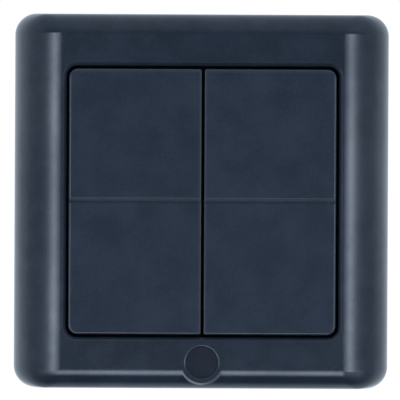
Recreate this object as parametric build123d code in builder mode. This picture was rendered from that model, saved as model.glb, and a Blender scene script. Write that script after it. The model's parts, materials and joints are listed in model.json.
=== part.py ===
from build123d import *
import os
from math import asin, cos, degrees, radians, sqrt

# Wireless wall switch: a square surround with two full-height rocker keys, a
# battery radio module behind them and a plate that screws to a flush box.
#
# Frame of reference, millimetres: the switch hangs on a wall, the wall is the
# plane Y = 0 and the room is on the -Y side, +X is to the right of somebody
# who faces the switch and +Z is up. The origin is the middle of the wall
# plate's back face. h below is the distance in front of the wall, h = -Y.

os.makedirs("parts", exist_ok=True)

# ------------------------------------------------------------ surround
SIZE = 82.0  # outer width and height
DEPTH = 14.0  # wall to the flat front band
CORNER_R = 4.8  # outline corners
SIDE_FLAT = 30.7  # half width where the left and right sides start to roll
SIDE_R = SIZE / 2 - SIDE_FLAT  # wide roll of the left and right sides
END_FLAT = 36.8  # half height where the top and bottom start to roll
END_R = SIZE / 2 - END_FLAT  # tight roll of the top and bottom
ROLL_START = 0.02  # depth of the first contour of the rolls
FRONT_WALL = 1.8
SIDE_WALL = 2.0
OPENING_W, OPENING_H = 59.9, 59.6  # opening that the rockers fill
OPENING_R = 2.35
OPENING_EDGE, OPENING_EDGE_DROP = 0.8, 0.62  # bevel of the opening's front edge
SKIRT_WALL = 1.3  # wall around the opening
SKIRT_H = 7.2  # lowest h of that wall
LEDGE_OPENING = 53.0  # ledge that the carrier clamps
BOSS_Z = -35.25  # round boss below the rockers
BOSS_R = 5.0
BOSS_FLAT_R = 4.4  # where the boss's edge starts to round over
BOSS_EDGE_R = 2.0
RECESS_R = 3.38
RECESS_RIM_R = 0.5  # rounding of the recess's rim
RECESS_DEPTH = 0.55

# ------------------------------------------------------------ rockers
KEY_GAP = 0.6  # between the two keys
KEY_W = 29.05
KEY_H = 58.4
KEY_X = KEY_GAP / 2 + KEY_W / 2  # middle of the right key
KEY_FACE = 14.8  # h of the face
KEY_UNDER = 13.0  # h of the plate's inner face
KEY_SKIRT = 11.0  # h of the skirt's free edge
KEY_SKIRT_T = 1.1
KEY_EDGE_R = 0.4
KEY_OUTER_R = 2.0  # outer corners
KEY_INNER_R = 0.5  # corners beside the middle gap
GROOVE_DEPTH = 0.27
GROOVE_UP, GROOVE_DOWN = 0.77, 0.36  # widths of the groove's two flanks
GROOVE_Z = 0.13  # height of its bottom line
KEY_SWING = 3.0  # degrees each way

# ------------------------------------------------------------ pivots
PIVOT_H = 11.2
AXLE_R = 1.0
CLIP_BORE_R = 1.05
CLIP_R = 1.7
CLIP_W = 3.0
CLIP_X = (5.1, 24.7)  # middles of the two clips of one key
POST_T = 1.2
POST_GAP = 3.4  # between the two posts of a bearing
POST_R = 1.5

# ------------------------------------------------------------ key pins
PIN_X = KEY_X
PIN_Z = 15.0
PIN_TOP = 12.2  # h of the head at rest
PIN_HEAD_R = 2.45
PIN_CUP_R = 2.05
PIN_SHAFT_R = 1.1
RIB_R = 1.0
RIB_CLEAR = 0.05
POCKET_R = 2.55
POCKET_WALL_R = 3.4
POCKET_FLOOR = 9.0
POCKET_TOP = 11.2
SPRING_WIRE_R = 0.13
SPRING_R = 1.65
SPRING_TURNS = 4

# ------------------------------------------------------------ carrier
CARRIER_W, CARRIER_H = 59.4, 59.1
CARRIER_BACK, CARRIER_FRONT = 8.4, 9.4
ARM_IN, ARM_OUT = 23.4, 24.6
ARM_NOSE = 25.7

# ------------------------------------------------------------ wall plate
PLATE = 72.0
PLATE_T = 2.0
PLATE_HOLE = 49.8
SCREW_SPACING = 60.0  # flush-box screws
SLOT_L, SLOT_W = 6.4, 4.2
CATCH_T = 1.2
CATCH_TOP = 5.6

# ------------------------------------------------------------ module
COVER = 44.0
COVER_WALL = 1.0
COVER_BACK = 0.2
COVER_FLOOR = 0.9
BOARD = 41.0
BOARD_BACK, BOARD_FRONT = 4.7, 5.7
SCREW_X, SCREW_Z = 7.0, 17.8
CELL_R = 10.0
CELL_BACK, CELL_FRONT = 1.15, 4.35
BUTTON_Z = 9.0  # pairing button, on the middle line above the pivot

SIGNS = ((-1, 1), (1, 1), (-1, -1), (1, -1))


def front(h, x=0.0, z=0.0):
    """Plane parallel to the wall at h: local x is +X, local y is +Z, facing the room."""
    return Plane(origin=(x, -h, z), x_dir=(1, 0, 0), z_dir=(0, -1, 0))


def side(x):
    """Upright plane across the wall at x: local x is +Z, local y is h, facing +X."""
    return Plane(origin=(x, 0, 0), x_dir=(0, 0, 1), z_dir=(1, 0, 0))


def level(z, x=0.0):
    """Level plane at z: local x is +X, local y is h, facing down."""
    return Plane(origin=(x, 0, z), x_dir=(1, 0, 0), z_dir=(0, 0, -1))


def save(builder, name):
    builder.part.label = name
    export_step(builder.part, f"parts/{name}.step")


# ================================================================ surround
# Each contour of the outside is a rounded rectangle c below the flat front.
# The left and right rolls are quarter circles of SIDE_R, the top and bottom
# rolls quarter circles of END_R, and the corner curves grow with depth from
# nothing at the flat front to the corner radius of the outline.


def contour(c, side_flat, side_r, end_flat, end_r, corner_r):
    cs, ce = min(c, side_r), min(c, end_r)
    half_x = side_flat + sqrt(2 * side_r * cs - cs * cs)
    half_z = end_flat + sqrt(2 * end_r * ce - ce * ce)
    reach_x = (corner_r**-4 + (2 * c * side_r) ** -2) ** -0.25
    reach_z = (corner_r**-4 + (2 * c * end_r) ** -2) ** -0.25
    return half_x, half_z, reach_x, reach_z


def outline(a, b, ex, ez):
    """Draws a rounded rectangle, half width a, half height b, corner reaches ex and ez."""
    k = 0.5523
    Line((a, -b + ez), (a, b - ez))
    Bezier((a, b - ez), (a, b - ez + k * ez), (a - ex + k * ex, b), (a - ex, b))
    Line((a - ex, b), (-a + ex, b))
    Bezier((-a + ex, b), (-a + ex - k * ex, b), (-a, b - ez + k * ez), (-a, b - ez))
    Line((-a, b - ez), (-a, -b + ez))
    Bezier((-a, -b + ez), (-a, -b + ez - k * ez), (-a + ex - k * ex, -b), (-a + ex, -b))
    Line((-a + ex, -b), (a - ex, -b))
    Bezier((a - ex, -b), (a - ex + k * ex, -b), (a, -b + ez - k * ez), (a, -b + ez))


def rolled_block(top, side_flat, side_r, end_flat, end_r, corner_r, bottom):
    """Solid inside the contours from the flat front at h = top down to h = bottom."""
    args = (side_flat, side_r, end_flat, end_r, corner_r)
    first = [ROLL_START] + [end_r * (1 - cos(radians(t))) for t in range(15, 91, 15)]
    second = [end_r + (side_r - end_r) * t for t in (0.0, 0.12, 0.3, 0.55, 0.8, 1.0)]
    with BuildPart() as block:
        for c in first:
            with BuildSketch(front(top + ROLL_START - c)):
                with BuildLine():
                    outline(*contour(c, *args))
                make_face()
        loft()
        for c in second:
            with BuildSketch(front(top + ROLL_START - c)):
                with BuildLine():
                    outline(*contour(c, *args))
                make_face()
        loft()
        with BuildSketch(front(top + ROLL_START - side_r)):
            with BuildLine():
                outline(*contour(side_r, *args))
            make_face()
        extrude(amount=-(top + ROLL_START - side_r - bottom))
    return block.part


frame_outside = rolled_block(DEPTH, SIDE_FLAT, SIDE_R, END_FLAT, END_R, CORNER_R, 0.0)
frame_inside = rolled_block(
    DEPTH - FRONT_WALL,
    SIDE_FLAT,
    SIDE_R - SIDE_WALL,
    END_FLAT,
    END_R - SIDE_WALL,
    CORNER_R - SIDE_WALL,
    -1.0,
)

# the hollow of the surround, less the skirt around the opening and the ribs
with BuildPart() as frame_hollow:
    add(frame_inside)
    with BuildSketch(front(SKIRT_H)):
        RectangleRounded(
            OPENING_W + 2 * SKIRT_WALL, OPENING_H + 2 * SKIRT_WALL, OPENING_R + SKIRT_WALL
        )
    extrude(amount=DEPTH, mode=Mode.SUBTRACT)
    with BuildSketch(front(5.0)):
        for z in (-22.0, 22.0):
            with Locations((0, z)):
                Rectangle(SIZE, 1.0)
        for x in (-20.0, 20.0):
            with Locations((x, 0)):
                Rectangle(1.0, SIZE)
        Rectangle(OPENING_W, OPENING_H, mode=Mode.SUBTRACT)
    extrude(amount=DEPTH, mode=Mode.SUBTRACT)

# round boss, level with the flat front, its edge rounded over
boss_turn = degrees(asin((BOSS_R - BOSS_FLAT_R) / BOSS_EDGE_R))
with BuildPart() as boss:
    with BuildSketch(level(BOSS_Z)):
        with BuildLine():
            edge = CenterArc((BOSS_FLAT_R, DEPTH - BOSS_EDGE_R), BOSS_EDGE_R, 90 - boss_turn, boss_turn)
            Polyline(edge @ 1, (0, DEPTH), (0, 10.0), (BOSS_R, 10.0), edge @ 0)
        make_face()
    revolve(axis=Axis((0, 0, BOSS_Z), (0, -1, 0)))

# plain shallow recess in the boss, with a rounded rim
with BuildPart() as recess:
    with BuildSketch(level(BOSS_Z)):
        with BuildLine():
            rim = CenterArc(
                (RECESS_R + RECESS_RIM_R, DEPTH - RECESS_RIM_R), RECESS_RIM_R, 90, 90
            )
            Polyline(
                rim @ 1,
                (RECESS_R, DEPTH - RECESS_DEPTH),
                (0, DEPTH - RECESS_DEPTH),
                (0, DEPTH + 1.0),
                (RECESS_R + RECESS_RIM_R, DEPTH + 1.0),
                rim @ 0,
            )
        make_face()
    revolve(axis=Axis((0, 0, BOSS_Z), (0, -1, 0)))

with BuildPart() as frame:
    add(frame_outside)
    add(frame_hollow.part, mode=Mode.SUBTRACT)
    # opening for the rockers, and the ledge behind it
    with BuildSketch(front(CARRIER_BACK)):
        RectangleRounded(OPENING_W, OPENING_H, OPENING_R)
    extrude(amount=DEPTH, mode=Mode.SUBTRACT)
    with BuildSketch(front(0.0)):
        RectangleRounded(LEDGE_OPENING, LEDGE_OPENING, 2.0)
    extrude(amount=DEPTH, mode=Mode.SUBTRACT)
    opening_edges = (
        frame.faces().sort_by(Axis.Y)[0].inner_wires()[0].edges()
    )
    chamfer(
        opening_edges,
        OPENING_EDGE,
        OPENING_EDGE_DROP,
        reference=frame.faces().sort_by(Axis.Y)[0],
    )
    add(boss.part)
    add(recess.part, mode=Mode.SUBTRACT)
save(frame, "frame")

# ================================================================ wall plate
with BuildPart() as wall_plate:
    with BuildSketch(front(0.0)):
        RectangleRounded(PLATE, PLATE, 4.0)
        RectangleRounded(PLATE_HOLE, PLATE_HOLE, 2.0, mode=Mode.SUBTRACT)
        with Locations((-SCREW_SPACING / 2, 0), (SCREW_SPACING / 2, 0)):
            SlotOverall(SLOT_L, SLOT_W, mode=Mode.SUBTRACT)
        with Locations((0, -SCREW_SPACING / 2), (0, SCREW_SPACING / 2)):
            SlotOverall(SLOT_L, SLOT_W, rotation=90, mode=Mode.SUBTRACT)
        with GridLocations(60.0, 60.0, 2, 2):
            Circle(2.2, mode=Mode.SUBTRACT)
    extrude(amount=PLATE_T)
    # stiffening rim
    with BuildSketch(front(PLATE_T)):
        RectangleRounded(PLATE, PLATE, 4.0)
        RectangleRounded(PLATE - 2.4, PLATE - 2.4, 2.8, mode=Mode.SUBTRACT)
    extrude(amount=1.2)
    # four catch walls at the edge of the hole, each with a window
    catch_mid = PLATE_HOLE / 2 + CATCH_T / 2
    with BuildSketch(front(PLATE_T)):
        with Locations((-catch_mid, 0), (catch_mid, 0)):
            Rectangle(CATCH_T, 16.0)
        with Locations((0, -catch_mid), (0, catch_mid)):
            Rectangle(16.0, CATCH_T)
    extrude(amount=CATCH_TOP - PLATE_T)
    with BuildSketch(side(0)):
        with Locations((0, 3.45)):
            Rectangle(10.4, 1.7)
    extrude(amount=27.0, both=True, mode=Mode.SUBTRACT)
    with BuildSketch(level(0)):
        with Locations((0, 3.45)):
            Rectangle(10.4, 1.7)
    extrude(amount=27.0, both=True, mode=Mode.SUBTRACT)
save(wall_plate, "wall_plate")

# ================================================================ carrier
PIN_SPOTS = [(sx * PIN_X, sz * PIN_Z) for sx, sz in SIGNS]
SCREW_SPOTS = [(sx * SCREW_X, sz * SCREW_Z) for sx, sz in SIGNS]

with BuildPart() as carrier:
    with BuildSketch(front(CARRIER_BACK)):
        RectangleRounded(CARRIER_W, CARRIER_H, 2.0)
    extrude(amount=CARRIER_FRONT - CARRIER_BACK)
    # guide tubes of the key pins
    with BuildSketch(front(CARRIER_FRONT)):
        with Locations(*PIN_SPOTS):
            Circle(POCKET_WALL_R)
    extrude(amount=POCKET_TOP - CARRIER_FRONT)
    # stiffening ribs on the plate
    with BuildSketch(front(CARRIER_FRONT)):
        with Locations((0, 8.0), (0, -8.0)):
            Rectangle(54.0, 1.0)
        with Locations(*[(sx * 14.6, sz * 22.0) for sx, sz in SIGNS]):
            Rectangle(24.8, 1.0)
        with Locations((0, 5.6)):
            Rectangle(1.0, 5.0)
    extrude(amount=0.6)
    # bosses for the screws, behind the plate
    with BuildSketch(front(BOARD_FRONT)):
        with Locations(*SCREW_SPOTS):
            Circle(2.4)
    extrude(amount=CARRIER_BACK - BOARD_FRONT)
    with BuildSketch(front(BOARD_FRONT)):
        with Locations(*SCREW_SPOTS):
            Circle(0.95)
    extrude(amount=3.1, mode=Mode.SUBTRACT)
    # pockets and holes for the key pins
    with BuildSketch(front(POCKET_FLOOR)):
        with Locations(*PIN_SPOTS):
            Circle(POCKET_R)
    extrude(amount=POCKET_TOP, mode=Mode.SUBTRACT)
    with BuildSketch(front(CARRIER_BACK)):
        with Locations(*PIN_SPOTS):
            Circle(PIN_SHAFT_R + 0.1)
    extrude(amount=POCKET_TOP, mode=Mode.SUBTRACT)
    # way through to the pairing button
    with BuildSketch(front(CARRIER_BACK)):
        with Locations((0, BUTTON_Z)):
            Circle(1.7)
    extrude(amount=POCKET_TOP, mode=Mode.SUBTRACT)
    # bearing posts and the axles between them
    for sx in (-1, 1):
        for xc in CLIP_X:
            for xp in (xc - POST_GAP / 2 - POST_T, xc + POST_GAP / 2):
                with BuildSketch(side(sx * xp if sx > 0 else -xp - POST_T)):
                    with Locations((0, PIVOT_H)):
                        Circle(POST_R)
                    with Locations((0, (CARRIER_FRONT + PIVOT_H) / 2)):
                        Rectangle(2 * POST_R, PIVOT_H - CARRIER_FRONT)
                extrude(amount=POST_T)
            with BuildSketch(side(sx * xc - POST_GAP / 2)):
                with Locations((0, PIVOT_H)):
                    Circle(AXLE_R)
            extrude(amount=POST_GAP)
    # snap arms that clip into the catch walls
    arm = [
        (ARM_IN, CARRIER_BACK),
        (ARM_OUT, CARRIER_BACK),
        (ARM_OUT, 4.3),
        (ARM_NOSE, 4.3),
        (ARM_NOSE, 3.6),
        (ARM_OUT + 0.1, 2.7),
        (ARM_OUT, 2.4),
        (ARM_IN, 2.4),
    ]
    for plane in (level(0), side(0)):
        with BuildSketch(plane):
            with BuildLine():
                Polyline(*arm, close=True)
            make_face()
            with BuildLine():
                Polyline(*[(-u, v) for u, v in arm], close=True)
            make_face()
        extrude(amount=4.6, both=True)
save(carrier, "carrier")

# ================================================================ rockers


def rocker(sx):
    """One key, sx is 1 for the right one and -1 for the left one."""
    xm = sx * KEY_X
    with BuildPart() as key:
        with BuildSketch(front(KEY_SKIRT)) as blank:
            with Locations((xm, 0)):
                Rectangle(KEY_W, KEY_H)
            columns = blank.vertices().group_by(Axis.X)
            fillet(columns[-1] if sx > 0 else columns[0], KEY_OUTER_R)
            columns = blank.vertices().group_by(Axis.X)
            fillet(columns[0] if sx > 0 else columns[-1], KEY_INNER_R)
        extrude(amount=KEY_FACE - KEY_SKIRT)
        fillet(key.faces().sort_by(Axis.Y)[0].edges(), KEY_EDGE_R)
        with BuildSketch(front(KEY_SKIRT)):
            with Locations((xm, 0)):
                RectangleRounded(KEY_W - 2 * KEY_SKIRT_T, KEY_H - 2 * KEY_SKIRT_T, 1.0)
        extrude(amount=KEY_UNDER - KEY_SKIRT, mode=Mode.SUBTRACT)
        # fine V-groove across the middle of the face
        rise = 0.1
        with BuildSketch(side(xm - KEY_W)):
            with BuildLine():
                Polyline(
                    (GROOVE_Z, KEY_FACE - GROOVE_DEPTH),
                    (GROOVE_Z + GROOVE_UP * (1 + rise / GROOVE_DEPTH), KEY_FACE + rise),
                    (GROOVE_Z - GROOVE_DOWN * (1 + rise / GROOVE_DEPTH), KEY_FACE + rise),
                    close=True,
                )
            make_face()
        extrude(amount=2 * KEY_W, mode=Mode.SUBTRACT)
        # round ribs that press on the key pins
        with BuildSketch(side(xm - 2.6)):
            with Locations(
                (PIN_Z, PIN_TOP + RIB_CLEAR + RIB_R), (-PIN_Z, PIN_TOP + RIB_CLEAR + RIB_R)
            ):
                Circle(RIB_R)
        extrude(amount=5.2)
        # stiffening ribs
        with BuildSketch(front(KEY_UNDER)):
            with Locations((xm - 5.2, 0), (xm + 5.2, 0)):
                Rectangle(0.8, KEY_H - 2.0)
            with Locations((xm, 22.0), (xm, -22.0)):
                Rectangle(KEY_W - 2.0, 0.8)
        extrude(amount=-0.8)
        # two spring clips that snap over the axles
        for xc in CLIP_X:
            with BuildSketch(side(sx * xc - CLIP_W / 2)):
                with Locations((0, PIVOT_H)):
                    Circle(CLIP_R)
                with Locations((0, (PIVOT_H + KEY_UNDER) / 2)):
                    Rectangle(2.4, KEY_UNDER - PIVOT_H)
            extrude(amount=CLIP_W)
            with BuildSketch(side(sx * xc - CLIP_W / 2)):
                with Locations((0, PIVOT_H)):
                    Circle(CLIP_BORE_R)
                with Locations((0, PIVOT_H - CLIP_R)):
                    Rectangle(1.5, 2 * CLIP_R)
            extrude(amount=CLIP_W, mode=Mode.SUBTRACT)
    return key


rocker_left = rocker(-1)
save(rocker_left, "rocker_left")
rocker_right = rocker(1)
save(rocker_right, "rocker_right")

# ================================================================ key pins, springs, domes


def key_pin(x, z):
    with BuildPart() as pin:
        with BuildSketch(front(11.2, x, z)):
            Circle(PIN_HEAD_R)
        extrude(amount=PIN_TOP - 11.2)
        chamfer(pin.faces().sort_by(Axis.Y)[0].edges(), 0.25)
        with BuildSketch(front(10.2, x, z)):
            Circle(PIN_HEAD_R)
            Circle(PIN_CUP_R, mode=Mode.SUBTRACT)
        extrude(amount=1.0)
        with BuildSketch(front(6.65, x, z)):
            Circle(PIN_SHAFT_R - 0.2)
        extrude(amount=0.3)
        with BuildSketch(front(6.95, x, z)):
            Circle(1.5)
        extrude(amount=0.6)
        with BuildSketch(front(7.55, x, z)):
            Circle(PIN_SHAFT_R)
        extrude(amount=11.2 - 7.55)
        # slit that lets the collar spring through the hole
        with BuildSketch(front(6.0, x, z)):
            Rectangle(4.0, 0.5)
        extrude(amount=2.3, mode=Mode.SUBTRACT)
    return pin


def coil(x, z):
    low, high = POCKET_FLOOR + SPRING_WIRE_R, 11.2 - SPRING_WIRE_R
    pitch = (high - low) / SPRING_TURNS
    with BuildPart() as spring:
        with BuildLine() as wire:
            Helix(
                pitch=pitch,
                height=high - low,
                radius=SPRING_R,
                center=(x, -low, z),
                direction=(0, -1, 0),
            )
        with BuildSketch(Plane(origin=wire.line @ 0, z_dir=wire.line % 0)):
            Circle(SPRING_WIRE_R)
        sweep(is_frenet=True)
    return spring


def domed_disc(x, z, base, r, rise, thick):
    """Thin spherical disc, r in radius, that stands rise proud of the plane h = base."""
    ball = (r * r + rise * rise) / (2 * rise)
    mid = base + rise - ball
    inner = ball - thick
    outer_start = degrees(asin((base - mid) / ball))
    inner_start = degrees(asin((base - mid) / inner))
    with BuildPart() as disc:
        with BuildSketch(level(z, x)):
            with BuildLine():
                rim = CenterArc((0, mid), ball, outer_start, 90 - outer_start)
                hollow = CenterArc((0, mid), inner, inner_start, 90 - inner_start)
                Line(rim @ 1, hollow @ 1)
                Line(rim @ 0, hollow @ 0)
            make_face()
        revolve(axis=Axis((x, 0, z), (0, -1, 0)))
    return disc


for up, sz in (("upper", 1), ("lower", -1)):
    for hand, sx in (("left", -1), ("right", 1)):
        where = f"{up}_{hand}"
        save(key_pin(sx * PIN_X, sz * PIN_Z), f"key_pin_{where}")
        save(coil(sx * PIN_X, sz * PIN_Z), f"return_spring_{where}")
        save(domed_disc(sx * PIN_X, sz * PIN_Z, BOARD_FRONT, 2.5, 0.4, 0.12), f"contact_dome_{where}")

# ================================================================ module
with BuildPart() as rear_cover:
    with BuildSketch(front(COVER_BACK)):
        RectangleRounded(COVER, COVER, 3.0)
    extrude(amount=CARRIER_BACK - COVER_BACK)
    chamfer(rear_cover.faces().sort_by(Axis.Y)[-1].edges(), 0.4)
    with BuildSketch(front(COVER_FLOOR)):
        RectangleRounded(COVER - 2 * COVER_WALL, COVER - 2 * COVER_WALL, 2.0)
    extrude(amount=CARRIER_BACK, mode=Mode.SUBTRACT)
    # pillars for the screws and ledges for the board
    with BuildSketch(front(COVER_FLOOR)):
        with Locations(*SCREW_SPOTS):
            Circle(2.6)
        with Locations((-20.5, 8), (-20.5, -8), (20.5, 8), (20.5, -8)):
            Rectangle(1.0, 4.0)
    extrude(amount=BOARD_BACK - COVER_FLOOR)
    with Locations(*[Plane(origin=(x, -COVER_BACK, z), z_dir=(0, 1, 0)) for x, z in SCREW_SPOTS]):
        CounterBoreHole(radius=1.05, counter_bore_radius=1.95, counter_bore_depth=1.4, depth=6.0)
save(rear_cover, "rear_cover")

with BuildPart() as carrier_screws:
    with BuildSketch(front(0.4)):
        with Locations(*SCREW_SPOTS):
            Circle(1.7)
    extrude(amount=1.2)
    fillet(
        carrier_screws.edges().filter_by(GeomType.CIRCLE).group_by(Axis.Y)[-1],
        0.4,
    )
    with BuildSketch(front(1.6)):
        with Locations(*SCREW_SPOTS):
            Circle(0.9)
    extrude(amount=6.4)
    chamfer(
        carrier_screws.edges().filter_by(GeomType.CIRCLE).group_by(Axis.Y)[0],
        0.4,
    )
    with BuildSketch(front(0.4)):
        with Locations(*SCREW_SPOTS):
            Rectangle(1.9, 0.4)
            Rectangle(0.4, 1.9)
    extrude(amount=0.7, mode=Mode.SUBTRACT)
save(carrier_screws, "carrier_screws")

with BuildPart() as circuit_board:
    with BuildSketch(front(BOARD_BACK)):
        RectangleRounded(BOARD, BOARD, 1.0)
        with Locations(*SCREW_SPOTS):
            Circle(1.15, mode=Mode.SUBTRACT)
    extrude(amount=BOARD_FRONT - BOARD_BACK)
save(circuit_board, "circuit_board")

with BuildPart() as battery_holder:
    with BuildSketch(front(1.3)):
        Circle(11.4)
        Circle(CELL_R + 0.15, mode=Mode.SUBTRACT)
        # gap for the strap contact
        with Locations((11.0, 0)):
            Rectangle(3.0, 5.2, mode=Mode.SUBTRACT)
    extrude(amount=BOARD_BACK - 1.3)
    # gap to push the cell out
    with BuildSketch(front(1.3)):
        with Locations((-11.0, 0)):
            Rectangle(3.0, 8.0)
    extrude(amount=2.6, mode=Mode.SUBTRACT)
    # feet that stand on the board
    with BuildSketch(front(3.9)):
        with Locations((0, 12.2), (0, -12.2)):
            Rectangle(6.0, 2.4)
        Circle(11.0, mode=Mode.SUBTRACT)
    extrude(amount=BOARD_BACK - 3.9)
save(battery_holder, "battery_holder")

with BuildPart() as battery_contact_positive:
    with BuildSketch(level(0)):
        with BuildLine():
            Polyline(
                (12.5, 4.7),
                (10.25, 4.7),
                (10.25, 1.15),
                (5.5, 1.15),
                (5.5, 0.95),
                (10.5, 0.95),
                (10.5, 4.5),
                (12.5, 4.5),
                close=True,
            )
        make_face()
    extrude(amount=2.2, both=True)
save(battery_contact_positive, "battery_contact_positive")

with BuildPart() as battery_contact_negative:
    with BuildSketch(level(0)):
        with BuildLine():
            Polyline(
                (-7.0, 4.7),
                (-4.0, 4.7),
                (-1.5, 4.51),
                (1.5, 4.51),
                (4.0, 4.7),
                (7.0, 4.7),
                (7.0, 4.55),
                (4.05, 4.55),
                (1.55, 4.35),
                (-1.55, 4.35),
                (-4.05, 4.55),
                (-7.0, 4.55),
                close=True,
            )
        make_face()
    extrude(amount=2.5, both=True)
save(battery_contact_negative, "battery_contact_negative")

with BuildPart() as coin_cell:
    with BuildSketch(front(CELL_BACK)):
        Circle(CELL_R)
    extrude(amount=2.8)
    fillet(coin_cell.edges().filter_by(GeomType.CIRCLE), 0.35)
    with BuildSketch(front(CELL_BACK + 2.8)):
        Circle(8.6)
    extrude(amount=CELL_FRONT - CELL_BACK - 2.8)
    chamfer(coin_cell.faces().sort_by(Axis.Y)[0].edges(), 0.2)
save(coin_cell, "coin_cell")

with BuildPart() as radio_chip:
    with BuildSketch(front(BOARD_FRONT)):
        with Locations((0, -2.0)):
            Rectangle(5.0, 5.0)
    extrude(amount=0.9)
    chamfer(radio_chip.faces().sort_by(Axis.Y)[0].edges(), 0.15)
save(radio_chip, "radio_chip")

with BuildPart() as crystal:
    with BuildSketch(front(BOARD_FRONT)):
        with Locations((6.5, -2.5)):
            RectangleRounded(3.2, 2.5, 0.3)
    extrude(amount=0.8)
save(crystal, "crystal")

# stamped strip aerial, a meander standing along the right edge of the board
with BuildPart() as antenna:
    with BuildSketch(side(18.8)):
        for i in range(11):
            foot = BOARD_FRONT if i in (0, 10) else 6.3
            with Locations((-11.0 + 2.2 * i, (foot + 7.9) / 2)):
                Rectangle(0.6, 7.9 - foot)
        for i in range(5):
            with Locations((-9.9 + 4.4 * i, 7.6)):
                Rectangle(2.8, 0.6)
            with Locations((-7.7 + 4.4 * i, 6.6)):
                Rectangle(2.8, 0.6)
    extrude(amount=0.4)
save(antenna, "antenna")

with BuildPart() as capacitors:
    with BuildSketch(front(BOARD_FRONT)):
        with Locations((-6.0, 2.5), (-8.5, 0.0), (-6.0, -6.5), (6.5, 2.0), (10.0, 0.0)):
            Rectangle(1.6, 0.8)
    extrude(amount=0.8)
save(capacitors, "capacitors")

with BuildPart() as resistors:
    with BuildSketch(front(BOARD_FRONT)):
        with Locations((-10.0, 5.0), (-10.0, -5.0), (10.0, -6.0), (4.0, -8.0), (-3.0, -9.0)):
            Rectangle(0.8, 1.6)
    extrude(amount=0.45)
save(resistors, "resistors")

# ================================================================ pairing button
with BuildPart() as learn_button_housing:
    with BuildSketch(front(BOARD_FRONT)):
        with Locations((0, BUTTON_Z)):
            RectangleRounded(4.6, 4.6, 0.3)
    extrude(amount=1.6)
    with BuildSketch(front(6.0)):
        with Locations((0, BUTTON_Z)):
            Circle(1.6)
    extrude(amount=2.0, mode=Mode.SUBTRACT)
save(learn_button_housing, "learn_button_housing")

with BuildPart() as learn_button_cover:
    with BuildSketch(front(7.3)):
        with Locations((0, BUTTON_Z)):
            RectangleRounded(4.6, 4.6, 0.3)
            Circle(1.2, mode=Mode.SUBTRACT)
    extrude(amount=0.2)
save(learn_button_cover, "learn_button_cover")

with BuildPart() as learn_button_plunger:
    with BuildSketch(front(6.6)):
        with Locations((0, BUTTON_Z)):
            Circle(1.45)
    extrude(amount=0.65)
    with BuildSketch(front(7.25)):
        with Locations((0, BUTTON_Z)):
            Circle(1.1)
    extrude(amount=2.05)
    chamfer(learn_button_plunger.faces().sort_by(Axis.Y)[0].edges(), 0.15)
save(learn_button_plunger, "learn_button_plunger")

# small domed spring under the plunger
learn_button_spring = domed_disc(0, BUTTON_Z, 6.0, 1.5, 0.55, 0.12)
save(learn_button_spring, "learn_button_spring")
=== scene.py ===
import json
from math import acos, asin, atan2, cos, degrees, pi, radians, sin, sqrt, tan

import bmesh
import bpy
import numpy as np
from mathutils import Matrix, Vector

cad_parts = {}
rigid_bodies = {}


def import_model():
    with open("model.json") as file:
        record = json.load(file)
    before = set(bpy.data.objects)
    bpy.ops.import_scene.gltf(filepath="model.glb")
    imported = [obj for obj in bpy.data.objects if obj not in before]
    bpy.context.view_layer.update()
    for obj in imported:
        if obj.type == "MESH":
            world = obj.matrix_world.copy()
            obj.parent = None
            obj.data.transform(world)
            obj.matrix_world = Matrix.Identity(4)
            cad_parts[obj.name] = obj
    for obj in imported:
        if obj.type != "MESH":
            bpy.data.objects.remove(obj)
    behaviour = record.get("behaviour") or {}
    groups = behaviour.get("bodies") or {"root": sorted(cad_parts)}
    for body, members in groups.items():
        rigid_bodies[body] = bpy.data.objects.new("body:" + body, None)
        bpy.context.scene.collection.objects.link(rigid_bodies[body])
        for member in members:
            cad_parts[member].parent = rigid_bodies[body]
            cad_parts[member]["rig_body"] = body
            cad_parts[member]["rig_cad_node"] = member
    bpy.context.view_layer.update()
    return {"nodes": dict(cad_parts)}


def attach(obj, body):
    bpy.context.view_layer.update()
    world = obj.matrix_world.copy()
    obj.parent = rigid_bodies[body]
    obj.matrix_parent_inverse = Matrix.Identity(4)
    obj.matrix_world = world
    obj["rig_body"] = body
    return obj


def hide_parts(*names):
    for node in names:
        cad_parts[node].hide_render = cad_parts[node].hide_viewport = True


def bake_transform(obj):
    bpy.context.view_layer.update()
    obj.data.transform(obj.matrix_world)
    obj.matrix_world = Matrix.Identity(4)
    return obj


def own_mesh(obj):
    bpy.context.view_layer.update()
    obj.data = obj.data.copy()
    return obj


# A wireless wall switch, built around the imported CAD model. Sizes in the mesh
# code are millimetres: x to the right, h the distance in front of the wall and
# z up. The row frame is metres with y = -h.

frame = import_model()
nodes = frame["nodes"]
MM = 0.001

scene = bpy.context.scene
scene.view_settings.view_transform = "Standard"
scene.view_settings.look = "None"


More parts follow.
